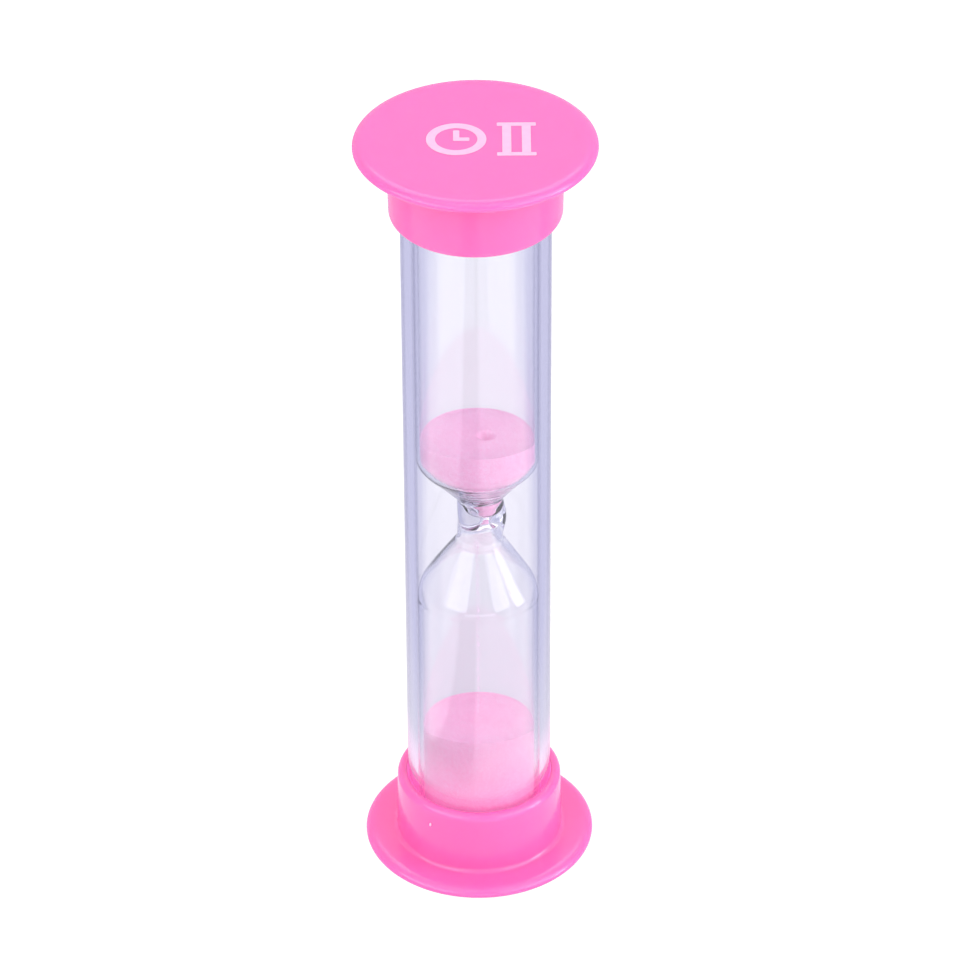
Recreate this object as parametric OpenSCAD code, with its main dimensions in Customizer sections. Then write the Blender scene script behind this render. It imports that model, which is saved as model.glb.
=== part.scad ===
// Two-minute sand timer: a sealed glass vial of sand inside a clear tube,
// held between two identical moulded end caps. Millimetres, +Z up,
// with the origin at the centre of the face that the timer stands on.

/* [Overall] */
// Height of the whole timer, from one end face to the other
overall_h = 90; // [72:1:130]

/* [End caps] */
// Diameter of the flange that the timer stands on
flange_d = 25.2; // [21:0.2:40]
// Thickness of the flange
flange_t = 1.3; // [1:0.1:2]
// How far in from the rim the flange starts to round off into its bull nose
flange_nose = 1.2; // [0.4:0.1:1.6]
// Height of a whole cap, from its end face to the collar's lip
cap_h = 8.8; // [6:0.2:14]
// Wall of the collar that grips the tube
collar_wall = 1.1; // [1:0.1:2]
// How much wider the collar's root is than its lip, on each side, so that it leaves the mould
collar_draft = 0.15; // [0:0.05:0.3]
// Fillet between the collar and the flange
collar_root_r = 0.5; // [0.2:0.1:1.2]
// Rounding of the collar's lip
collar_lip_r = 0.75; // [0.1:0.05:0.8]
// Chamfer at the mouth of the socket
socket_chamfer = 0.15; // [0.05:0.05:0.3]
// Thickness of the cap between its end face and the bottom of its socket
cap_floor_t = 1.4; // [1:0.1:2.5]

/* [Outer tube] */
// Outside diameter of the clear tube
tube_d = 15.7; // [13:0.1:20]
// Wall of the clear tube
tube_wall = 1.1; // [0.7:0.1:1.6]
// Gap between the tube and its socket, all round
socket_clearance = 0.05; // [0.02:0.01:0.2]
// Chamfer on the tube's cut ends
tube_chamfer = 0.2; // [0.05:0.05:0.3]

/* [Glass vial] */
// Gap between the vial and the tube, all round
vial_clearance = 0.2; // [0.15:0.05:0.8]
// Wall of the two bulbs
vial_wall = 0.4; // [0.3:0.05:0.6]
// Wall of the neck where it leaves the shoulder
neck_wall = 0.6; // [0.5:0.05:0.75]
// Wall of the neck at its throat, where the glass has gathered
throat_wall = 1; // [0.8:0.1:1.2]
// Angle from the axis at which the bore closes from the throat to the orifice, in degrees
throat_slope = 60; // [50:2:64]
// Outside diameter of the neck
neck_d = 5; // [4:0.1:7]
// Length of the neck between the two shoulders
neck_len = 5.8; // [4:0.2:9]
// How far the middle of the neck lies below the middle of the timer
neck_drop = 1.6; // [-3:0.1:4]
// Diameter of the hole that the sand runs through
orifice_d = 1; // [0.7:0.05:1.8]
// Length of that hole at its narrowest
orifice_len = 0.8; // [0.6:0.1:1.2]
// Rounding at each end of that hole, and where the neck's bore starts to close in to it
orifice_edge_r = 0.5; // [0.2:0.1:0.6]
// Height of the upper bulb's shoulder, from the neck to the straight wall
upper_shoulder_h = 4.8; // [3:0.2:9]
// Height of the lower bulb's shoulder, from the neck to the straight wall
lower_shoulder_h = 6.1; // [3:0.2:9]
// Rounding where the upper shoulder meets the straight wall
upper_shoulder_r = 3.2; // [1.5:0.1:4]
// Rounding where the lower shoulder meets the straight wall
lower_shoulder_r = 2.4; // [1.5:0.1:4]
// Rounding where a shoulder meets the neck
neck_blend_r = 1.2; // [0.4:0.1:2]
// Diameter of the flat on each closed end, inside the end's rounding
vial_flat_d = 4.2; // [3.8:0.1:5.2]
// Diameter of the drop of glass where the vial was sealed
seal_drop_d = 2.4; // [1:0.1:2.8]
// Height of that drop
seal_drop_h = 0.7; // [0.3:0.1:1.1]

/* [Cushions] */
// Thickness of the foam ring between a cap and the end of the vial
cushion_t = 1.6; // [1.3:0.1:3]
// Gap between the foam ring's hole and the drop of glass, all round
seal_clearance = 0.4; // [0.1:0.1:0.4]
// Gap between the foam ring and the tube, all round
cushion_clearance = 0.15; // [0.05:0.05:0.5]

/* [Sand] */
// Depth of the upper sand, from the middle of the neck to its surface
upper_sand_depth = 10.7; // [8:0.1:20]
// Slope of the upper sand's surface, in degrees
upper_sand_slope = 8.3; // [0:0.1:20]
// Diameter of the dimple where the upper sand is drawn down
dimple_d = 2.6; // [1:0.1:6]
// Depth of that dimple
dimple_h = 0.8; // [0.2:0.1:1.5]
// How far the dimple lies to the right of the axis
dimple_x = 0.7; // [-1.5:0.1:1.5]
// Depth of the lower sand, from the vial's floor to its surface
lower_sand_depth = 12.8; // [4:0.1:16]
// Slope of the lower sand's surface, in degrees
lower_sand_slope = 10.5; // [0:0.1:20]
// Diameter of the falling stream of sand
stream_d = 0.4; // [0.3:0.02:0.6]
// Gap between the sand and the glass
sand_clearance = 0.04; // [0.02:0.01:0.1]

/* [Hidden] */
$fn = 96;
// Steps in one rounded corner of an outline
arc_steps = 8;
// More than any width or height that a cut has to clear
past = 2 * overall_h;

flange_r = flange_d / 2;
tube_r = tube_d / 2;
tube_bore_r = tube_r - tube_wall;
socket_r = tube_r + socket_clearance;
collar_r = socket_r + collar_wall;
tube_bottom = cap_floor_t;
tube_top = overall_h - cap_floor_t;

vial_r = tube_bore_r - vial_clearance;
bulb_bore_r = vial_r - vial_wall;
vial_bottom = cap_floor_t + cushion_t;
vial_top = overall_h - vial_bottom;
vial_end_r = vial_r - vial_flat_d / 2;
neck_r = neck_d / 2;
neck_bore_r = neck_r - neck_wall;
orifice_r = orifice_d / 2;
// The bore narrows gently from the shoulder to its throat, then closes in to the orifice
throat_r = neck_r - throat_wall;
throat_rise = orifice_len / 2 + (throat_r - orifice_r) / tan(throat_slope);
neck_middle = overall_h / 2 - neck_drop;
neck_top = neck_middle + neck_len / 2;
neck_bottom = neck_middle - neck_len / 2;
upper_shoulder_top = neck_top + upper_shoulder_h;
lower_shoulder_bottom = neck_bottom - lower_shoulder_h;

// Angle between each shoulder and the axis. The bore's shoulders run parallel to the outside's.
upper_turn = atan2(vial_r - neck_r, upper_shoulder_h);
lower_turn = atan2(vial_r - neck_r, lower_shoulder_h);

cushion_r = tube_bore_r - cushion_clearance;
cushion_hole_r = seal_drop_d / 2 + seal_clearance;

// Where the bore's shoulders, one wall inside the outside's, come down to the neck's bore
upper_bore_z = neck_top + vial_wall / sin(upper_turn) - neck_wall / tan(upper_turn);
lower_bore_z = neck_bottom - vial_wall / sin(lower_turn) + neck_wall / tan(lower_turn);

upper_sand_z = neck_middle + upper_sand_depth;
lower_sand_z = vial_bottom + vial_wall + lower_sand_depth;

function unit(v) = v / norm(v);

// The arc of radius r that rounds corner p between its neighbours a and b. It touches both sides
// at r / tan(half the corner's angle) from p, and its centre is on the corner's bisector.
function corner_arc(a, p, b, r) =
    let (
        u = unit(a - p),
        v = unit(b - p),
        half = acos(u * v) / 2,
        centre = p + unit(u + v) * r / sin(half),
        from = p + u * r / tan(half) - centre,
        side = sign(u.x * v.y - u.y * v.x),
        start = atan2(from.y, from.x),
        sweep = -side * (180 - 2 * half)
    )
    [for (i = [0 : arc_steps]) let (t = start + sweep * i / arc_steps) centre + r * [cos(t), sin(t)]];

// An outline through corners given as [radius, height, rounding]. A rounding of 0 stays sharp.
function outline(corners) =
    let (n = len(corners), at = [for (c = corners) [c[0], c[1]]])
    [for (i = [0 : n - 1])
        each corners[i][2] > 0
            ? corner_arc(at[(i + n - 1) % n], at[i], at[(i + 1) % n], corners[i][2])
            : [at[i]]];

module turned(corners) {
    rotate_extrude()
        polygon(outline(corners));
}

// The flange's rim: half an ellipse from the bottom face, out to the rim and back to the top face
function bull_nose() =
    [for (i = [0 : 2 * arc_steps])
        let (t = -90 + 90 * i / arc_steps)
        [flange_r - flange_nose + flange_nose * cos(t), flange_t / 2 * (1 + sin(t))]];

// One moulded cap standing on its end face: a flange with a collar and a blind socket
module end_cap() {
    difference() {
        union() {
            rotate_extrude()
                polygon(concat([[0, 0]], bull_nose(), [[0, flange_t]]));
            turned([
                [0, 0, 0],
                [collar_r + collar_draft + collar_root_r, 0, 0],
                [collar_r + collar_draft + collar_root_r, flange_t, 0],
                [collar_r + collar_draft, flange_t, collar_root_r],
                [collar_r, cap_h, collar_lip_r],
                [0, cap_h, 0]
            ]);
        }
        translate([0, 0, cap_floor_t])
            cylinder(r = socket_r, h = cap_h);
        translate([0, 0, cap_h - socket_chamfer])
            cylinder(r1 = socket_r, r2 = socket_r + 2 * socket_chamfer, h = 2 * socket_chamfer);
    }
}

// One foam ring, lying flat
module cushion() {
    difference() {
        cylinder(r = cushion_r, h = cushion_t);
        translate([0, 0, -cushion_t])
            cylinder(r = cushion_hole_r, h = 3 * cushion_t);
    }
}

// Everything above a plane that rises by slope degrees towards -Y through height z on the axis
module above_slope(z, slope) {
    translate([0, 0, z])
        rotate([-slope, 0, 0])
            translate([-past / 2, -past / 2, 0])
                cube(past);
}

// Corners of the vial's bore, shrunk by gap all round, from its floor to its roof
function bore_corners(gap) = [
    [0, vial_bottom + vial_wall + gap, 0],
    [bulb_bore_r - gap, vial_bottom + vial_wall + gap, vial_end_r - vial_wall - gap],
    [
        bulb_bore_r - gap,
        lower_shoulder_bottom - (vial_wall + gap) * tan(lower_turn / 2),
        lower_shoulder_r - vial_wall - gap
    ],
    [neck_bore_r - gap, lower_bore_z - gap * tan(lower_turn / 2), neck_blend_r],
    [throat_r - gap, neck_middle - throat_rise, orifice_edge_r],
    [orifice_r - gap, neck_middle - orifice_len / 2, orifice_edge_r],
    [orifice_r - gap, neck_middle + orifice_len / 2, orifice_edge_r],
    [throat_r - gap, neck_middle + throat_rise, orifice_edge_r],
    [neck_bore_r - gap, upper_bore_z + gap * tan(upper_turn / 2), neck_blend_r],
    [
        bulb_bore_r - gap,
        upper_shoulder_top + (vial_wall + gap) * tan(upper_turn / 2),
        upper_shoulder_r - vial_wall - gap
    ],
    [bulb_bore_r - gap, vial_top - vial_wall - gap, vial_end_r - vial_wall - gap],
    [0, vial_top - vial_wall - gap, 0]
];

// Blown glass outside: two bulbs drawn together at the neck, with the seal's drop on top
module vial_outside() {
    turned([
        [0, vial_bottom, 0],
        [vial_r, vial_bottom, vial_end_r],
        [vial_r, lower_shoulder_bottom, lower_shoulder_r],
        [neck_r, neck_bottom, neck_blend_r],
        [neck_r, neck_top, neck_blend_r],
        [vial_r, upper_shoulder_top, upper_shoulder_r],
        [vial_r, vial_top, vial_end_r],
        [seal_drop_d / 2, vial_top, 0],
        [seal_drop_d / 2, vial_top + seal_drop_h, seal_drop_h / 2],
        [0, vial_top + seal_drop_h, 0]
    ]);
}

module bottom_cap() {
    color("hotpink")
        end_cap();
}

module lower_cushion() {
    color("white")
        translate([0, 0, cap_floor_t])
            cushion();
}

module outer_tube() {
    color("lavender", 0.3)
        difference() {
            translate([0, 0, tube_bottom])
                turned([
                    [tube_bore_r, 0, 0],
                    [tube_r - tube_chamfer, 0, 0],
                    [tube_r, tube_chamfer, 0],
                    [tube_r, tube_top - tube_bottom - tube_chamfer, 0],
                    [tube_r - tube_chamfer, tube_top - tube_bottom, 0],
                    [tube_bore_r, tube_top - tube_bottom, 0]
                ]);
        }
}

module glass_vial() {
    color("lightcyan", 0.4)
        difference() {
            vial_outside();
            turned(bore_corners(0));
        }
}

module lower_sand() {
    color("pink")
        difference() {
            turned(bore_corners(sand_clearance));
            above_slope(lower_sand_z, lower_sand_slope);
        }
}

// The stream falls from the bottom of the orifice to the lower sand's surface
module sand_stream() {
    color("pink")
        intersection() {
            translate([0, 0, vial_bottom])
                cylinder(d = stream_d, h = neck_middle - orifice_len / 2 - vial_bottom);
            above_slope(lower_sand_z, lower_sand_slope);
        }
}

module upper_sand() {
    color("pink")
        difference() {
            turned(bore_corners(sand_clearance));
            above_slope(upper_sand_z, upper_sand_slope);
            // Only the part above the orifice's lower edge holds this charge
            translate([0, 0, neck_middle - orifice_len / 2 - past])
                cylinder(r = past, h = past);
            // The dimple's own axis is square to the sloping surface
            translate([0, 0, upper_sand_z])
                rotate([-upper_sand_slope, 0, 0])
                    translate([dimple_x, 0, -dimple_h])
                        cylinder(d1 = 0, d2 = 2 * dimple_d, h = 2 * dimple_h);
        }
}

module upper_cushion() {
    color("white")
        translate([0, 0, overall_h - cap_floor_t - cushion_t])
            cushion();
}

module top_cap() {
    color("hotpink")
        translate([0, 0, overall_h])
            rotate([180, 0, 0])
                end_cap();
}

bottom_cap();
lower_cushion();
outer_tube();
glass_vial();
lower_sand();
sand_stream();
upper_sand();
upper_cushion();
top_cap();
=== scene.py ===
"""Two-minute sand timer: a glass vial of pink sand in a clear tube between two moulded pink caps."""

import math

import bpy
import numpy as np
from mathutils import Matrix, Vector


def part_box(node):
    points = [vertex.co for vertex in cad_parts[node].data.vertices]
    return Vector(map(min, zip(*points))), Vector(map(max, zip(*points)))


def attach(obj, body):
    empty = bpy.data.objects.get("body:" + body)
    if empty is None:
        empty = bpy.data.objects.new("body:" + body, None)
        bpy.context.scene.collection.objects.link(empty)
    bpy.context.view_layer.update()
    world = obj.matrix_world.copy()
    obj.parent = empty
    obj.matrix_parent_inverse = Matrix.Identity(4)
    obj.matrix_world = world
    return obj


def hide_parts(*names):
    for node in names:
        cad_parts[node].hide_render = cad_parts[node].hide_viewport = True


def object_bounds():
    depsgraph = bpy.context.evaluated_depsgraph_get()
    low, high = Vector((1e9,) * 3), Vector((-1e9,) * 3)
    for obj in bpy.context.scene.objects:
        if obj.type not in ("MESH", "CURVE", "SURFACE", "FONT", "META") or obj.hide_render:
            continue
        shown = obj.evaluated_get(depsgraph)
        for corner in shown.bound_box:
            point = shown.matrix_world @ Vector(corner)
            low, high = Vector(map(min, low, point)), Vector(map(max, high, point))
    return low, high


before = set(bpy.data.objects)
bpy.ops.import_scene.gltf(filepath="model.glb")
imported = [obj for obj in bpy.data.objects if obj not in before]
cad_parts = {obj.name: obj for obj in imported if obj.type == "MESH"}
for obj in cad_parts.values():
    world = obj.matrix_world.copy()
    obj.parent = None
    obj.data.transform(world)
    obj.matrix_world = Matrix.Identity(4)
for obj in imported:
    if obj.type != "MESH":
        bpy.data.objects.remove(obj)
cad_low, cad_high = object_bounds()
MM = 0.001


# ---- Camera ----
# A long lens looks down on the timer from the front, aimed a little above its middle. It is
# rolled by a third of a degree, so that the timer stands almost upright in view.
camera_data = bpy.data.cameras.new("camera")
camera_data.lens = 195.1
camera_data.sensor_width = 36
camera_data.clip_start, camera_data.clip_end = 0.05, 20
camera = bpy.data.objects.new("camera", camera_data)
bpy.context.collection.objects.link(camera)
bpy.context.scene.camera = camera

elevation, lean = math.radians(35.35), math.radians(-0.345)
camera_distance = 555.4 * MM
aim_right, aim_up = 0.27 * MM, 2.17 * MM
middle = (cad_low + cad_high) / 2
back = Vector((0, -math.cos(elevation), math.sin(elevation)))
level_right = Vector((1, 0, 0))
level_up = back.cross(level_right)
right = level_right * math.cos(lean) + level_up * math.sin(lean)
up = back.cross(right)
aim = middle + right * aim_right + up * aim_up
camera.location = middle + back * camera_distance
view_back = (camera.location - aim).normalized()
view_right = (right - view_back * right.dot(view_back)).normalized()
view_up = view_back.cross(view_right)
axes = Matrix((view_right, view_up, view_back)).transposed()
camera.rotation_mode = "QUATERNION"
camera.rotation_quaternion = axes.to_quaternion()


# ---- Stage ----
# A white light table, soft boxes at both sides, behind and overhead, two low strips that pick
# out the rims, and a pale lilac room. Glass shows only what is around it, so these make the
# lines in the tube.
def node(tree, kind, inputs=(), **settings):
    """A new node in the tree. settings are its properties, and inputs are (socket, value or output)."""
    made = tree.nodes.new(kind)
    for key, value in settings.items():
        setattr(made, key, value)
    for socket, value in dict(inputs).items():
        if isinstance(value, bpy.types.NodeSocket):
            tree.links.new(value, made.inputs[socket])
        else:
            made.inputs[socket].default_value = value
    return made


def ramp(tree, factor, stops):
    """A colour ramp on factor, with stops of (position, grey or colour)."""
    made = node(tree, "ShaderNodeValToRGB", {"Fac": factor})
    band = made.color_ramp.elements
    while len(band) < len(stops):
        band.new(0.5)
    for element, (position, colour) in zip(band, stops):
        element.position = position
        element.color = (*colour, 1)
    return made.outputs["Color"]


def mixed(tree, factor, first, second, blend_type="MIX"):
    """The colour first changed towards second by factor, in the given way."""
    inputs = {0: factor, 6: first, 7: second}
    return node(tree, "ShaderNodeMix", inputs, data_type="RGBA", blend_type=blend_type).outputs[2]


def eased(tree, value, start, end):
    """0 where value is at start, 1 where it is at end, and straight in between, in millimetres."""
    limits = {"Value": value, "From Min": start * MM, "From Max": end * MM}
    return node(tree, "ShaderNodeMapRange", limits).outputs["Result"]


def blank_material(name):
    """A material with an empty node tree, and its output node."""
    made = bpy.data.materials.new(name)
    made.use_nodes = True
    made.node_tree.nodes.clear()
    return made, made.node_tree, node(made.node_tree, "ShaderNodeOutputMaterial")


scene = bpy.context.scene
scene.view_settings.view_transform = "Standard"
scene.cycles.max_bounces = 40
scene.cycles.transmission_bounces = 32
scene.cycles.glossy_bounces = 12
scene.cycles.transparent_max_bounces = 32
scene.cycles.sample_clamp_indirect = 4

world = bpy.data.worlds.new("room")
scene.world = world
world.use_nodes = True
room = world.node_tree
room.nodes.clear()
direction = node(room, "ShaderNodeTexCoord").outputs["Generated"]
height_up = node(room, "ShaderNodeSeparateXYZ", {"Vector": direction}).outputs["Z"]
sky = ramp(room, height_up, [(0, (0.80, 0.80, 0.90)), (0.45, (0.86, 0.86, 0.93)), (0.9, (0.8, 0.8, 0.78))])
background = node(room, "ShaderNodeBackground", {"Color": sky, "Strength": 1.0})
node(room, "ShaderNodeOutputWorld", {"Surface": background.outputs["Background"]})

floor_size, floor_gap = 6.0, 0.02 * MM
corner = floor_size / 2
floor_mesh = bpy.data.meshes.new("floor")
floor_corners = [(x * corner, y * corner, -floor_gap) for x, y in ((-1, -1), (1, -1), (1, 1), (-1, 1))]
floor_mesh.from_pydata(floor_corners, [], [(0, 1, 2, 3)])
floor = bpy.data.objects.new("floor", floor_mesh)
bpy.context.collection.objects.link(floor)
floor_material, tree, output = blank_material("light_table")
place = node(tree, "ShaderNodeTexCoord").outputs["Object"]
plan = node(tree, "ShaderNodeSeparateXYZ", {"Vector": place})
# Glass and gloss see the sheet as it is lit: two bright pools in front with a gap between them,
# a lilac shade to both sides, and painted pink light, bounced from the bottom cap, close to the
# foot. Seen directly, it is plain white.
across = eased(tree, plan.outputs["X"], -100, 100)
behind = eased(tree, plan.outputs["Y"], -3, 5)
pool, gap, far_side = (0.78,) * 3, (0.44,) * 3, (0.34, 0.34, 0.46)
# The foot colour is painted pink light, bounced from the bottom cap onto the sheet near the foot
near_back, far_back, foot_pink_bounce = (0.47, 0.455, 0.50), (0.56, 0.55, 0.575), (0.67, 0.52, 0.62)
near_front = ramp(tree, across, [(0.365, pool), (0.37, gap), (0.475, gap), (0.49, pool)])
far_front = ramp(tree, across, [(0.295, pool), (0.305, gap), (0.50, gap), (0.56, pool)])
out_front = eased(tree, plan.outputs["Y"], -40, -65)
in_front = mixed(tree, out_front, near_front, far_front)
far_off = eased(tree, plan.outputs["Y"], 30, 80)
straight_back = ramp(tree, far_off, [(0, near_back), (1, far_back)])
to_side = ramp(tree, across, [(0.32, (1,) * 3), (0.42, (0,) * 3), (0.58, (0,) * 3), (0.68, (1,) * 3)])
at_back = mixed(tree, to_side, straight_back, (*far_side, 1))
around = mixed(tree, behind, in_front, at_back)
off_axis = node(tree, "ShaderNodeVectorMath", {0: place}, operation="LENGTH").outputs["Value"]
beyond_foot = eased(tree, off_axis, 20, 25)
lit = mixed(tree, beyond_foot, (*foot_pink_bounce, 1), around)
path = node(tree, "ShaderNodeLightPath")
plain_white = (0.67, 0.67, 0.66, 1)
sheet = node(tree, "ShaderNodeBsdfPrincipled", {
    "Base Color": (0.12, 0.12, 0.12, 1),
    "Roughness": 1.0,
    "Specular IOR Level": 0.0,
    "Emission Color": mixed(tree, path.outputs["Is Camera Ray"], lit, plain_white),
    "Emission Strength": 1.5,
})
tree.links.new(sheet.outputs["BSDF"], output.inputs["Surface"])
floor_mesh.materials.append(floor_material)


def soft_box(name, azimuth, height, distance, width, tall, strength):
    """A rectangular lamp turned to face the timer, with angles in degrees and lengths in metres.
    Azimuth 0 is the camera's side, and positive is to its right."""
    lamp = bpy.data.lights.new(name, "AREA")
    lamp.shape = "RECTANGLE"
    lamp.size, lamp.size_y = width, tall
    # A flat lamp of power P and area A shines with radiance P / (pi A)
    lamp.energy = strength * math.pi * width * tall
    placed = bpy.data.objects.new(name, lamp)
    bpy.context.collection.objects.link(placed)
    side, rise = math.radians(azimuth), math.radians(height)
    away = Vector((math.sin(side) * math.cos(rise), -math.cos(side) * math.cos(rise), math.sin(rise)))
    placed.location = middle + away * distance
    placed.rotation_euler = away.to_track_quat("Z", "Y").to_euler()


soft_box("left_box", -53, 38, 0.9, 0.95, 0.55, 2.3)
soft_box("right_box", 63, 38, 0.9, 1.0, 0.55, 2.3)
soft_box("rear_box", 180, 52, 1.0, 0.7, 0.4, 1.4)
soft_box("overhead_box", 0, 88, 1.0, 1.1, 0.55, 0.8)
soft_box("low_right_strip", 80, 16, 0.9, 0.3, 0.4, 4.5)
soft_box("low_front_strip", 3, 9, 0.9, 0.9, 0.22, 1.8)


# ---- End caps ----
# Two identical injection-moulded caps in glossy pink plastic: a flange with a rounded edge and
# a collar with a blind socket. Each is pressed and glued on one end of the tube.
def rounded(corners, steps=10):
    """Profile through (radius, height, rounding) corners. A rounded corner is an arc that touches
    both sides at rounding / tan(half the corner's angle) from it. One more point just past each end
    of the arc holds the flat sides flat when the surface is shaded smooth."""
    corners = np.array(corners, float)
    points = []
    for k, (r, h, rounding) in enumerate(corners):
        here = np.array([r, h])
        if rounding <= 0:
            points.append(here[None])
            continue
        u = corners[k - 1, :2] - here
        v = corners[(k + 1) % len(corners), :2] - here
        u, v = u / np.linalg.norm(u), v / np.linalg.norm(v)
        half = math.acos(np.clip(u @ v, -1, 1)) / 2
        centre = here + (u + v) / np.linalg.norm(u + v) * rounding / math.sin(half)
        reach = rounding / math.tan(half)
        first = here + u * reach - centre
        sweep = -np.sign(u[0] * v[1] - u[1] * v[0]) * (math.pi - 2 * half)
        angle = math.atan2(first[1], first[0]) + sweep * np.linspace(0, 1, steps + 1)
        arc = centre + rounding * np.stack([np.cos(angle), np.sin(angle)], axis=1)
        hold = 0.1 * rounding
        points.append(np.concatenate([[here + u * (reach + hold)], arc, [here + v * (reach + hold)]]))
    return np.concatenate(points)


def resampled(profile, step):
    """The same profile with extra points, so that no two neighbours are further apart than step."""
    gaps = np.linalg.norm(np.diff(profile, axis=0), axis=1)
    counts = np.maximum(1, np.ceil(gaps / step)).astype(int)
    starts = np.repeat(np.arange(len(gaps)), counts)
    within = np.arange(counts.sum()) - np.repeat(np.cumsum(counts) - counts, counts)
    share = (within / counts[starts])[:, None]
    inner = profile[starts] * (1 - share) + profile[starts + 1] * share
    return np.concatenate([inner, profile[-1:]])


def add_piece(name, points, faces, material):
    """A smooth-shaded mesh object at the origin that rides on the timer's one body."""
    mesh = bpy.data.meshes.new(name)
    mesh.from_pydata(points.reshape(-1, 3).tolist(), [], faces)
    mesh.polygons.foreach_set("use_smooth", np.ones(len(mesh.polygons), bool))
    mesh.set_sharp_from_angle(angle=math.radians(40))
    mesh.materials.append(material)
    piece = bpy.data.objects.new(name, mesh)
    bpy.context.collection.objects.link(piece)
    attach(piece, "root")
    return piece


def turned_shell(profile, sides, shape=None):
    """Points, quads and triangles of profile rows of (radius, height) carried round the axis:
    point (i, j) is (r_i cos a_j, r_i sin a_j, h_i). A row on the axis is one vertex. A profile
    whose ends are both off the axis is closed into a ring. shape, if given, moves the grid."""
    angle = np.linspace(0, 2 * math.pi, sides, endpoint=False)
    r, h = profile[:, :1], profile[:, 1:]
    grid = np.stack([r * np.cos(angle), r * np.sin(angle), h + 0 * angle], axis=2)
    if shape:
        grid = shape(grid)
    rows = len(profile)
    on_axis = profile[:, 0] < 1e-9
    index = np.arange(rows * sides).reshape(rows, sides)
    index[on_axis] = index[on_axis, :1]
    ring = not (on_axis[0] and on_axis[-1])
    low = index if ring else index[:-1]
    high = np.roll(index, -1, axis=0) if ring else index[1:]
    faces = np.stack([low, np.roll(low, -1, axis=1), np.roll(high, -1, axis=1), high], axis=2).reshape(-1, 4)
    used, packed = np.unique(faces, return_inverse=True)
    packed = packed.reshape(faces.shape)
    from_pole = packed[:, 0] == packed[:, 1]
    to_pole = packed[:, 2] == packed[:, 3]
    fans = np.concatenate([packed[from_pole][:, [0, 2, 3]], packed[to_pole][:, [0, 1, 2]]])
    return grid.reshape(-1, 3)[used], packed[~from_pole & ~to_pole], fans


def turned(name, profile, material, sides=256, shape=None):
    """A turned piece with one closed surface."""
    points, quads, fans = turned_shell(profile, sides, shape)
    return add_piece(name, points, quads.tolist() + fans.tolist(), material)


def maths(tree, operation, *values):
    """The result of one operation on numbers or outputs."""
    return node(tree, "ShaderNodeMath", dict(enumerate(values)), operation=operation).outputs[0]


def mould_finish():
    """Node group: the faint ripple and flow marks that a mould leaves. Height is a sum of a broad
    noise, which is the sink of the wall, and a fine one, which is the grain of the steel."""
    group = bpy.data.node_groups.new("mould_finish", "ShaderNodeTree")
    group.interface.new_socket("Ripple", in_out="INPUT", socket_type="NodeSocketFloat")
    group.interface.new_socket("Grain", in_out="INPUT", socket_type="NodeSocketFloat")
    group.interface.new_socket("Height", in_out="OUTPUT", socket_type="NodeSocketFloat")
    group.interface.new_socket("Tone", in_out="OUTPUT", socket_type="NodeSocketFloat")
    given = node(group, "NodeGroupInput")
    place = node(group, "ShaderNodeTexCoord").outputs["Object"]
    ripple = node(group, "ShaderNodeTexNoise", {"Vector": place, "Scale": 180.0, "Detail": 1.0})
    grain = node(group, "ShaderNodeTexNoise", {"Vector": place, "Scale": 5200.0, "Detail": 2.0})
    broad = maths(group, "MULTIPLY", ripple.outputs["Fac"], given.outputs["Ripple"])
    fine = maths(group, "MULTIPLY", grain.outputs["Fac"], given.outputs["Grain"])
    relief = maths(group, "ADD", broad, fine)
    node(group, "NodeGroupOutput", {"Height": relief, "Tone": ripple.outputs["Fac"]})
    return group


height = cad_high.z / MM
flange_r = cad_high.x / MM
flange_t, nose, cap_h = 1.3, 1.2, 8.8
tube_r, socket_r, floor_t = 7.85, 7.9, 1.4
collar_r, draft, root_r, lip_r = 9.0, 0.15, 0.5, 0.75
mouth, dish, dish_r, dish_edge = 0.15, 0.03, 10.8, 0.6
glow_behind_wall, glow_below_face = 0.06, 1

mould_group = mould_finish()
pink, pink_deep = (0.98, 0.119, 0.398), (0.97, 0.115, 0.391)
cap_plastic, tree, output = blank_material("pink_cap_plastic")
finish = node(tree, "ShaderNodeGroup", node_tree=mould_group)
finish.inputs["Ripple"].default_value = 1.0
finish.inputs["Grain"].default_value = 0.05
bump = node(tree, "ShaderNodeBump", {
    "Height": finish.outputs["Height"], "Strength": 0.06, "Distance": 0.3 * MM,
})
# Painted glow: the inside of the socket glows pink, standing in for light that soaks through the collar
place = node(tree, "ShaderNodeTexCoord").outputs["Object"]
where = node(tree, "ShaderNodeSeparateXYZ", {"Vector": place})
from_axis = node(tree, "ShaderNodeVectorMath", {0: place, 1: (1, 1, 0)}, operation="MULTIPLY")
radius = node(tree, "ShaderNodeVectorMath", {0: from_axis.outputs["Vector"]}, operation="LENGTH")
in_bore = maths(tree, "LESS_THAN", radius.outputs["Value"], (socket_r + glow_behind_wall) * MM)
off_middle = maths(tree, "ABSOLUTE", maths(tree, "SUBTRACT", where.outputs["Z"], height / 2 * MM))
below_face = maths(tree, "LESS_THAN", off_middle, (height / 2 - glow_below_face) * MM)
socket_glow_mask = maths(tree, "MULTIPLY", in_bore, below_face)
plastic = node(tree, "ShaderNodeBsdfPrincipled", {
    "Base Color": ramp(tree, finish.outputs["Tone"], [(0.0, pink_deep), (1.0, pink)]),
    "Roughness": ramp(tree, finish.outputs["Tone"], [(0.0, (0.19,) * 3), (1.0, (0.23,) * 3)]),
    "IOR": 1.49,
    "Subsurface Weight": 0.6,
    "Subsurface Radius": (1.0, 0.45, 0.7),
    "Subsurface Scale": 1.6 * MM,
    "Coat Weight": 0.35,
    "Coat Roughness": 0.07,
    # Painted glow inside the socket
    "Emission Color": mixed(tree, socket_glow_mask, (0, 0, 0, 1), (0.75, 0.13, 0.38, 1)),
    "Emission Strength": 1.0,
    "Normal": bump.outputs["Normal"],
})
tree.links.new(plastic.outputs["BSDF"], output.inputs["Surface"])

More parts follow.
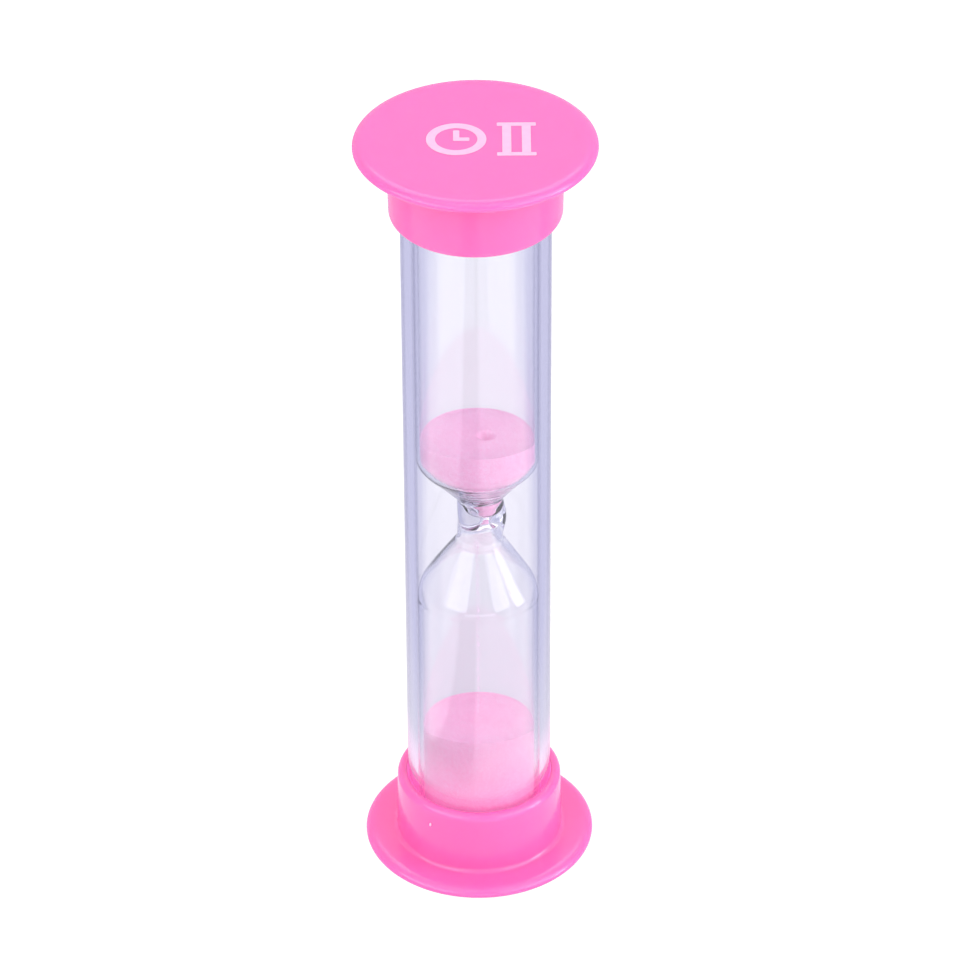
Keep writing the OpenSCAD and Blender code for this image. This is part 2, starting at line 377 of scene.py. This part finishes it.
# The end face is dished very slightly, as a moulded face sinks, so the timer stands on its rim.
# Both faces of the flange end just inside the rim's arc, which holds them flat.
rim_hold = 0.05
flat_r = flange_r - nose - rim_hold
end_face = np.array([(0, dish), (dish_r - dish_edge, dish), (dish_r, 0), (flat_r, 0)])
turn = np.linspace(-math.pi / 2, math.pi / 2, 33)
rim = np.stack([flange_r - nose + nose * np.cos(turn), flange_t / 2 * (1 + np.sin(turn))], axis=1)
collar = rounded([
    (flat_r, flange_t, 0),
    (collar_r + draft, flange_t, root_r),
    (collar_r, cap_h, lip_r),
    (socket_r + mouth, cap_h, 0.04),
    (socket_r, cap_h - mouth, 0.05),
    (socket_r, floor_t, 0),
    (0, floor_t, 0),
])
cap_profile = resampled(np.concatenate([end_face, rim, collar]), 0.5) * MM
for end in ("bottom", "top"):
    if end == "bottom":
        profile = cap_profile
    else:
        profile = (cap_profile * (1, -1) + (0, cad_high.z))[::-1]
    cap = turned(end + "_cap_moulding", profile, cap_plastic)
    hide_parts(end + "_cap")

# A small nub on the bottom collar, coloured pale pink as a painted glint
glint_paint, tree, output = blank_material("nub_painted_glint")
place = node(tree, "ShaderNodeTexCoord").outputs["Object"]
glint_mottle = node(tree, "ShaderNodeTexNoise", {"Vector": place, "Scale": 4000.0})
# Pale pink colour that is a painted glint on the nub
white = node(tree, "ShaderNodeBsdfPrincipled", {
    "Base Color": ramp(tree, glint_mottle.outputs["Fac"], [(0.3, (1.0, 0.42, 0.68)), (0.7, (1.0, 0.58, 0.78))]),
    "Roughness": 0.4,
})
tree.links.new(white.outputs["BSDF"], output.inputs["Surface"])
nub_r, nub_half_h = 0.12, 0.22
nub_turn = np.linspace(-math.pi / 2, math.pi / 2, 13)
nub_profile = np.stack([nub_r * np.cos(nub_turn), nub_half_h * np.sin(nub_turn)], axis=1)
nub_profile[[0, -1], 0] = 0
nub_at = np.array([-5.38, -7.36, 6.6]) * MM
nub_glint = turned("nub_painted_glint", nub_profile * MM, glint_paint, sides=24, shape=lambda grid: grid + nub_at)


# ---- Duration mark ----
# Pad-printed on the top cap in pale pink ink, about as thick as a hair. A generic mark stands for
# the duration: a dial with two hands, and the numeral two in roman strokes.
ink, tree, output = blank_material("pale_pink_ink")
place = node(tree, "ShaderNodeTexCoord").outputs["Object"]
mottle = node(tree, "ShaderNodeTexNoise", {"Vector": place, "Scale": 1500.0, "Detail": 3.0})
dried = node(tree, "ShaderNodeBsdfPrincipled", {
    "Base Color": ramp(tree, mottle.outputs["Fac"], [(0.3, (0.87, 0.36, 0.55)), (0.7, (0.91, 0.41, 0.59))]),
    "Roughness": ramp(tree, mottle.outputs["Fac"], [(0.3, (0.38,) * 3), (0.7, (0.46,) * 3)]),
})
tree.links.new(dried.outputs["BSDF"], output.inputs["Surface"])

ink_sunk, ink_below_rim = 0.015, 0.006
ink_low, ink_high = height - dish - ink_sunk, height - ink_below_rim
stroke = 0.46
thin_stroke = 0.7 * stroke


def printed_bar(name, start, end, half_width, top=ink_high):
    """A film in the shape of a bar from start to end, as high as top. Its outline is a rounded
    rectangle, whose corners are arcs c + r (cos t, sin t) a quarter turn each."""
    start, end = np.array(start, float), np.array(end, float)
    along = (end - start) / np.linalg.norm(end - start)
    side = np.array([-along[1], along[0]])
    r = 0.4 * half_width
    centres = [(end - along * r, half_width - r, 0), (start + along * r, half_width - r, 90),
               (start + along * r, r - half_width, 180), (end - along * r, r - half_width, 270)]
    arcs = []
    for centre, out, turned_by in centres:
        t = np.radians(turned_by + np.arange(0, 91, 15))[:, None]
        arcs.append(centre + side * out + r * (np.cos(t) * along + np.sin(t) * side))
    outline = np.concatenate(arcs)
    n = len(outline)
    flat = np.concatenate([outline, outline]) * MM
    level = np.repeat([ink_low, top], n)[:, None] * MM
    k = np.arange(n)
    walls = np.stack([k, (k + 1) % n, (k + 1) % n + n, k + n], axis=1).tolist()
    faces = [list(range(n))[::-1], list(range(n, 2 * n))] + walls
    bar = add_piece(name, np.concatenate([flat, level], axis=1), faces, ink)


dial_at, dial_r = np.array([-1.95, 0.15]), 2.62
dial_profile = np.array([
    (dial_r - stroke, ink_low),
    (dial_r + stroke, ink_low),
    (dial_r + stroke, ink_high),
    (dial_r - stroke, ink_high),
]) * MM
dial_shift = np.append(dial_at, 0) * MM
dial = turned("printed_dial", dial_profile, ink, sides=96, shape=lambda grid: grid + dial_shift)
# Where two films overlap, the second is a little lower than the first
second_coat = ink_high - 0.008
minute_reach, hour_reach = 1.7, 1.35
printed_bar("printed_minute_hand", dial_at - (0, thin_stroke), dial_at + (0, minute_reach), thin_stroke)
printed_bar("printed_hour_hand", dial_at, dial_at + (hour_reach, 0), thin_stroke, second_coat)
numeral_low, numeral_high = -2.75, 3.05
left_x, right_x, overhang = 3.2, 5.2, 1.0
for name, x in (("left", left_x), ("right", right_x)):
    printed_bar("printed_" + name + "_stroke", (x, numeral_low), (x, numeral_high), stroke)
for name, y in (("lower", numeral_low), ("upper", numeral_high)):
    ends = (left_x - overhang, y), (right_x + overhang, y)
    printed_bar("printed_" + name + "_serif", *ends, thin_stroke, second_coat)


# ---- Outer tube ----
# A clear polystyrene tube, cut square and held in both sockets. Its faint lilac tint is weak
# across the thin wall, and deeper at the sides, where light runs a long way inside the wall.
def clear_material(name, index, tint, tint_depth, edge, leaving_edge):
    """Smooth clear solid of that refractive index. Light that goes tint_depth inside it is
    multiplied by tint. edge colours what is seen at a glancing angle, and leaving_edge what is
    seen through an inner face just short of total reflection. Both fade out towards the bottom
    collar, whose pink glow fills the edges there. Shadow rays pass straight through, so that
    lamps reach the sand."""
    made, tree, output = blank_material(name)
    facing = node(tree, "ShaderNodeLayerWeight").outputs["Facing"]
    leaving = node(tree, "ShaderNodeNewGeometry").outputs["Backfacing"]
    level = node(tree, "ShaderNodeSeparateXYZ", {
        "Vector": node(tree, "ShaderNodeTexCoord").outputs["Object"],
    }).outputs["Z"]
    white = (1, 1, 1)
    arriving_hue = ramp(tree, facing, [(0.72, white), (0.81, edge)])
    leaving_hue = ramp(tree, facing, [
        (0.234, white), (0.243, leaving_edge), (0.262, leaving_edge), (0.268, white),
    ])
    by_angle = mixed(tree, leaving, arriving_hue, leaving_hue)
    clear = node(tree, "ShaderNodeBsdfPrincipled", {
        "Base Color": mixed(tree, eased(tree, level, 4, 40), (*white, 1), by_angle),
        "Roughness": 0.0,
        "IOR": index,
        "Transmission Weight": 1.0,
    })
    path = node(tree, "ShaderNodeLightPath")
    through = node(tree, "ShaderNodeBsdfTransparent", {"Color": (*white, 1)})
    chosen = node(tree, "ShaderNodeMixShader", {
        0: path.outputs["Is Shadow Ray"],
        1: clear.outputs["BSDF"],
        2: through.outputs["BSDF"],
    })
    # Absorption keeps exp(-density * (1 - colour) * distance) of each colour
    density = max(-math.log(t) for t in tint) / tint_depth
    colour = [1 + math.log(t) / tint_depth / density for t in tint]
    absorb = node(tree, "ShaderNodeVolumeAbsorption", {"Color": (*colour, 1), "Density": density})
    tree.links.new(chosen.outputs["Shader"], output.inputs["Surface"])
    tree.links.new(absorb.outputs["Volume"], output.inputs["Volume"])
    return made


tube_tint, tube_edge, tube_leaving = (0.62, 0.61, 0.80), (0.95, 0.95, 0.97), (0.45, 0.45, 0.55)
tube_plastic = clear_material("clear_tube_plastic", 1.49, tube_tint, 8 * MM, tube_edge, tube_leaving)
tube_wall, chamfer = 1.1, 0.2
tube_profile = rounded([
    (tube_r - tube_wall, floor_t, 0),
    (tube_r - chamfer, floor_t, 0.02),
    (tube_r, floor_t + chamfer, 0.05),
    (tube_r, height - floor_t - chamfer, 0.05),
    (tube_r - chamfer, height - floor_t, 0.02),
    (tube_r - tube_wall, height - floor_t, 0),
], steps=3)
tube = turned("clear_tube", resampled(tube_profile, 2.0) * MM, tube_plastic)
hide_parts("outer_tube")


# ---- Glass vial ----
# One piece of glass tubing, drawn in at the neck by hand and sealed at both ends. The drawn
# neck is thick, uneven and a little off the axis, with shallow rings where it was rolled.
vial_tint, vial_edge = (0.66, 0.66, 0.77), (0.45, 0.45, 0.54)
vial_glass = clear_material("vial_glass", 1.5, vial_tint, 8 * MM, vial_edge, (1, 1, 1))
vial_r, vial_wall, neck_r, neck_wall, throat_wall = 6.55, 0.4, 2.5, 0.6, 1.0
end_flat_r, drop_r, drop_h = 2.1, 1.2, 0.7
vial_low = floor_t + 1.6
vial_high = height - vial_low
neck_z = height / 2 - 1.6
neck_half, upper_shoulder, lower_shoulder = 2.9, 4.8, 6.1
upper_round, lower_round, neck_round = 3.2, 2.4, 1.2
hole_r, hole_half, hole_edge, throat_slope = 0.5, 0.4, 0.5, math.radians(60)
throat_r = neck_r - throat_wall
throat_half = hole_half + (throat_r - hole_r) / math.tan(throat_slope)
upper_turn = math.atan2(vial_r - neck_r, upper_shoulder)
lower_turn = math.atan2(vial_r - neck_r, lower_shoulder)
upper_bore_z = neck_z + neck_half + vial_wall / math.sin(upper_turn) - neck_wall / math.tan(upper_turn)
lower_bore_z = neck_z - neck_half - vial_wall / math.sin(lower_turn) + neck_wall / math.tan(lower_turn)


def bore_corners(gap):
    """Corners of the vial's bore, brought in by gap all round, from its floor to its roof."""
    bulb, side = vial_r - vial_wall - gap, vial_wall + gap
    neck, throat, hole = neck_r - neck_wall - gap, throat_r - gap, hole_r - gap
    upper_tip, lower_tip = math.tan(upper_turn / 2), math.tan(lower_turn / 2)
    return [
        (0, vial_low + side, 0),
        (bulb, vial_low + side, vial_r - end_flat_r - side),
        (bulb, neck_z - neck_half - lower_shoulder - side * lower_tip, lower_round - side),
        (neck, lower_bore_z - gap * lower_tip, neck_round),
        (throat, neck_z - throat_half, hole_edge),
        (hole, neck_z - hole_half, hole_edge),
        (hole, neck_z + hole_half, hole_edge),
        (throat, neck_z + throat_half, hole_edge),
        (neck, upper_bore_z + gap * upper_tip, neck_round),
        (bulb, neck_z + neck_half + upper_shoulder + side * upper_tip, upper_round - side),
        (bulb, vial_high - side, vial_r - end_flat_r - side),
        (0, vial_high - side, 0),
    ]


vial_outline = rounded([
    (0, vial_low, 0),
    (vial_r, vial_low, vial_r - end_flat_r),
    (vial_r, neck_z - neck_half - lower_shoulder, lower_round),
    (neck_r, neck_z - neck_half, neck_round),
    (neck_r, neck_z + neck_half, neck_round),
    (vial_r, neck_z + neck_half + upper_shoulder, upper_round),
    (vial_r, vial_high, vial_r - end_flat_r),
    (drop_r, vial_high, 0.05),
    (drop_r, vial_high + drop_h, drop_h / 2),
    (0, vial_high + drop_h, 0),
], steps=12)


# How far the neck was drawn aside, inside and out, and how uneven it was left, in millimetres.
# The lobes twist by so many radians a millimetre.
bore_lean, bore_lean_up, bore_lean_reach = 0.75, 2.0, 3.6
neck_lean, neck_lean_reach = 0.32, 5.0
ring_h, ring_up, ring_reach, ring_pitch = 0.06, 3.9, 1.3, 0.95
ring_skew, skew_from = 0.10, 0.7
three_lobes, two_lobes, lobe_reach = 0.16, 0.10, 2.6
three_twist, two_twist = 0.5, 1.1
neck_zone, coarse_row = 7.5, 1.2


def leaned(grid, lean, level, reach):
    """Every point moves along +X by lean exp(-((height - level) / reach)^2)."""
    moved = grid.copy()
    moved[..., 0] += lean * MM * np.exp(-(((grid[..., 2] / MM - level) / reach) ** 2))
    return moved


def drawn_bore(grid):
    """The bore's neck is drawn to the right of the outside's."""
    return leaned(grid, bore_lean, neck_z + bore_lean_up, bore_lean_reach)


def drawn_neck(grid):
    """Outside of the drawn glass: rings round the foot of the upper shoulder, and a slow twist of
    three and two lobes on the neck, both fading out with distance, and then the neck's own lean."""
    x, y, z = grid[..., 0], grid[..., 1], grid[..., 2] / MM
    angle = np.arctan2(y, x)
    up = z - neck_z
    near_rings = np.exp(-(((up - ring_up) / ring_reach) ** 2))
    near_neck = np.exp(-((up / lobe_reach) ** 2))
    askew = ring_skew * np.cos(angle + skew_from)
    rings = ring_h * near_rings * np.cos(2 * math.pi * (up + askew) / ring_pitch)
    lobes = three_lobes * np.cos(3 * angle + three_twist * up)
    lobes += two_lobes * np.cos(2 * angle - two_twist * up)
    radius = np.hypot(x, y)
    grow = 1 + (rings + near_neck * lobes) * MM / np.maximum(radius, 1e-6)
    swollen = np.stack([x * grow, y * grow, grid[..., 2]], axis=-1)
    return leaned(swollen, neck_lean, neck_z, neck_lean_reach)


def neck_rows(profile, fine):
    """The profile with rows every fine millimetres near the neck, and coarser ones elsewhere."""
    middles = (profile[1:, 1] + profile[:-1, 1]) / 2
    return resampled(profile, np.where(np.abs(middles - neck_z) < neck_zone, fine, coarse_row))


# One closed solid of two surfaces: the outside, and the bore with its faces turned inwards
vial_sides, outside_step, bore_step = 176, 0.16, 0.24
bore_outline = rounded(bore_corners(0), steps=12)
outside_rows = neck_rows(vial_outline, outside_step) * MM
bore_rows = neck_rows(bore_outline, bore_step) * MM
points, quads, fans = turned_shell(outside_rows, vial_sides, drawn_neck)
bore, bore_quads, bore_fans = turned_shell(bore_rows, vial_sides, drawn_bore)
vial_faces = quads.tolist() + fans.tolist()
vial_faces += (bore_quads[:, ::-1] + len(points)).tolist() + (bore_fans[:, ::-1] + len(points)).tolist()
vial = add_piece("drawn_glass_vial", np.concatenate([points, bore]), vial_faces, vial_glass)
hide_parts("glass_vial")


# ---- Sand ----
# Fine dyed quartz sand, a little damp with dye so that it clings in slopes. The upper charge
# is drawn down in a dimple over the neck, and the lower one lies at the slope it fell to.
sand_material, tree, output = blank_material("dyed_sand")
place = node(tree, "ShaderNodeTexCoord").outputs["Object"]
grains = node(tree, "ShaderNodeTexVoronoi", {"Vector": place, "Scale": 6500.0})
drift = node(tree, "ShaderNodeTexNoise", {"Vector": place, "Scale": 420.0, "Detail": 3.0})
grain_tone = ramp(tree, grains.outputs["Color"], [
    (0.0, (0.98, 0.41, 0.675)), (0.5, (1.0, 0.49, 0.735)), (1.0, (1.0, 0.59, 0.80)),
])
drift_tone = ramp(tree, drift.outputs["Fac"], [(0.35, (0.96, 0.90, 0.94)), (0.65, (1, 1, 1))])
grain_bump = node(tree, "ShaderNodeBump", {
    "Height": grains.outputs["Distance"], "Strength": 0.5, "Distance": 0.05 * MM,
}, invert=True)
# Low in the timer the sand gets painted light, deeper pink and a glow, for light that comes
# through the pink collar, and the dimple is darkened with painted shade
low_down = node(tree, "ShaderNodeSeparateXYZ", {"Vector": place}).outputs["Z"]
near_collar = eased(tree, low_down, 22, 6)
painted_collar_light = ramp(tree, near_collar, [
    (0, (1, 1, 1)), (0.35, (1, 0.90, 0.94)), (0.7, (1, 0.82, 0.90)), (1, (1, 0.77, 0.88)),
])
# Painted shade darkens the sand round the bottom of the dimple
dimple_bottom = tuple(v * MM for v in (1.05, -0.5, height / 2 + 8.6))
off_dimple = node(tree, "ShaderNodeVectorMath", {0: place, 1: dimple_bottom}, operation="DISTANCE")
away = eased(tree, off_dimple.outputs["Value"], 0.5, 1.3)
shade = ramp(tree, away, [(0, (0.90, 0.76, 0.86)), (1, (1, 1, 1))])
sand_tone = grain_tone
for layer in (drift_tone, painted_collar_light, shade):
    sand_tone = mixed(tree, 1.0, sand_tone, layer, "MULTIPLY")
dyed = node(tree, "ShaderNodeBsdfPrincipled", {
    "Base Color": sand_tone,
    "Roughness": 0.85,
    # Painted glow: faint all over the sand, and stronger and pinker near the bottom collar
    "Emission Color": ramp(tree, near_collar, [
        (0, (0.05, 0.02, 0.035)), (0.4, (0.07, 0.02, 0.03)), (0.65, (0.2, 0.05, 0.09)),
        (0.9, (0.29, 0.05, 0.13)), (1, (0.42, 0.10, 0.25)),
    ]),
    "Emission Strength": 1.0,
    "Normal": grain_bump.outputs["Normal"],
})
tree.links.new(dyed.outputs["BSDF"], output.inputs["Surface"])

sand_gap, sand_step = 0.04, 0.1
upper_depth, lower_depth = 10.7, 12.8
upper_fill, upper_slope = neck_z + upper_depth, math.tan(math.radians(8.3))
lower_fill, lower_slope = vial_low + vial_wall + lower_depth, math.tan(math.radians(10.5))
dimple_x, dimple_y, dimple_r, dimple_h, dimple_power = 0.9, -0.35, 1.25, 0.8, 0.9
creep, creep_reach = 0.1, 0.16
grain_h, calm_rim, calm_middle = 0.018, 0.2, 1.2
side_h, side_rows, top_rows = 2.0, 23, 109
inside = resampled(rounded(bore_corners(sand_gap), steps=16), sand_step)


def heap(name, node_name, below, fill, slope, dimple, seed):
    """A charge of sand: the bore's profile up to the surface, then the surface itself as rings of
    shrinking radius. The surface is the plane z = fill - slope y, less a round dimple of
    h (0.5 + 0.5 cos(pi distance / r)) to a power, raised by creep exp(-gap / reach) at the glass,
    with grains as a small random height. The last side_h of the wall stretches so that it meets
    the surface."""
    wall = inside[(inside[:, 1] <= fill - side_h) & (inside[:, 1] >= below)]
    if wall[0, 0] > 0:
        wall = np.concatenate([[[0, below]], wall])
    radius, wall_top = wall[-1]
    side_z = wall_top + np.linspace(0, 1, side_rows + 1)[1:] * (fill - wall_top)
    side = np.stack([np.full(side_rows, radius), side_z], axis=1)
    top_r = radius * np.linspace(1, 0, top_rows + 1)[1:]
    top = np.stack([top_r, np.full(top_rows, fill)], axis=1)
    profile = np.concatenate([wall, side, top])
    stretch = np.clip((np.arange(len(profile)) - len(wall) + 1) / side_rows, 0, 1)[:, None]
    random = np.random.default_rng(seed)

    def shape(grid):
        x, y = grid[..., 0] / MM, grid[..., 1] / MM
        from_wall = radius - np.hypot(x, y)
        surface = fill - creep - slope * y + creep * np.exp(-np.maximum(from_wall, 0) / creep_reach)
        if dimple:
            away = np.minimum(np.hypot(x - dimple_x, y - dimple_y) / dimple_r, 1)
            surface = surface - dimple_h * (0.5 + 0.5 * np.cos(math.pi * away)) ** dimple_power
        grain = random.normal(0, grain_h, x.shape)
        calm = np.clip(from_wall / calm_rim, 0, 1) * np.clip((radius - from_wall) / calm_middle, 0, 1)
        moved = grid.copy()
        moved[..., 2] += stretch * (surface - fill + grain * calm) * MM
        return drawn_bore(moved)

    made = turned(name, profile * MM, sand_material, shape=shape)
    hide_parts(node_name)


heap("lower_charge", "lower_sand", 0, lower_fill, lower_slope, False, 3)
heap("upper_charge", "upper_sand", neck_z - hole_half, upper_fill, upper_slope, True, 5)

# The falling thread: a thin uneven column of grains from the hole to the lower charge. Most of it
# is air between the grains, so that it shows only as a faint line.
falling, tree, output = blank_material("falling_sand")
place = node(tree, "ShaderNodeTexCoord").outputs["Object"]
sparse = node(tree, "ShaderNodeTexVoronoi", {"Vector": place, "Scale": 16000.0})
one_grain = maths(tree, "GREATER_THAN", sparse.outputs["Color"], 0.80)
grain = node(tree, "ShaderNodeBsdfPrincipled", {
    "Base Color": ramp(tree, sparse.outputs["Color"], [(0.0, (0.98, 0.50, 0.76)), (1.0, (1.0, 0.68, 0.88))]),
    "Roughness": 0.85,
    "Alpha": one_grain,
})
tree.links.new(grain.outputs["BSDF"], output.inputs["Surface"])
stream_r, uneven, thread_rows, spare_rows, smooth_rows = 0.2, 0.12, 160, 15, 21
thread_z = np.linspace(lower_fill + 0.02, neck_z - hole_half - 0.01, thread_rows)
wobble = np.random.default_rng(11).normal(0, 1, thread_rows + 2 * spare_rows)
wobble = np.convolve(wobble, np.hanning(smooth_rows), mode="same")[spare_rows:spare_rows + thread_rows]
thread_r = stream_r * (1 - uneven + uneven * wobble / np.abs(wobble).max())
thread_side = np.stack([thread_r, thread_z], axis=1)
thread = np.concatenate([[[0, thread_z[0]]], thread_side, [[0, thread_z[-1]]]])
stream = turned("falling_thread", thread * MM, falling, sides=24)
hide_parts("sand_stream")


# ---- Foam rings ----
# Two soft white foam rings, punched from sheet, lie between the caps' floors and the vial's ends.
# They keep the vial from rattling, and the caps hide them.
foam, tree, output = blank_material("white_foam")
place = node(tree, "ShaderNodeTexCoord").outputs["Object"]
cells = node(tree, "ShaderNodeTexVoronoi", {"Vector": place, "Scale": 2600.0})
cell_bump = node(tree, "ShaderNodeBump", {
    "Height": cells.outputs["Distance"], "Strength": 0.6, "Distance": 0.2 * MM,
})
foam_hue = ramp(tree, cells.outputs["Distance"], [(0.0, (0.78, 0.77, 0.74)), (0.5, (0.93, 0.92, 0.9))])
soft = node(tree, "ShaderNodeBsdfPrincipled", {
    "Base Color": foam_hue,
    "Roughness": 0.95,
    "Normal": cell_bump.outputs["Normal"],
})
tree.links.new(soft.outputs["BSDF"], output.inputs["Surface"])
foam_in, foam_out, foam_edge = 1.6, 6.6, 0.2
for level in ("lower", "upper"):
    low, high = (end.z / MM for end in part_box(level + "_cushion"))
    corners = ((foam_in, low), (foam_out, low), (foam_out, high), (foam_in, high))
    ring = rounded([(r, z, foam_edge) for r, z in corners], steps=5)
    ring_piece = turned(level + "_foam_ring", ring * MM, foam, sides=128)
    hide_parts(level + "_cushion")
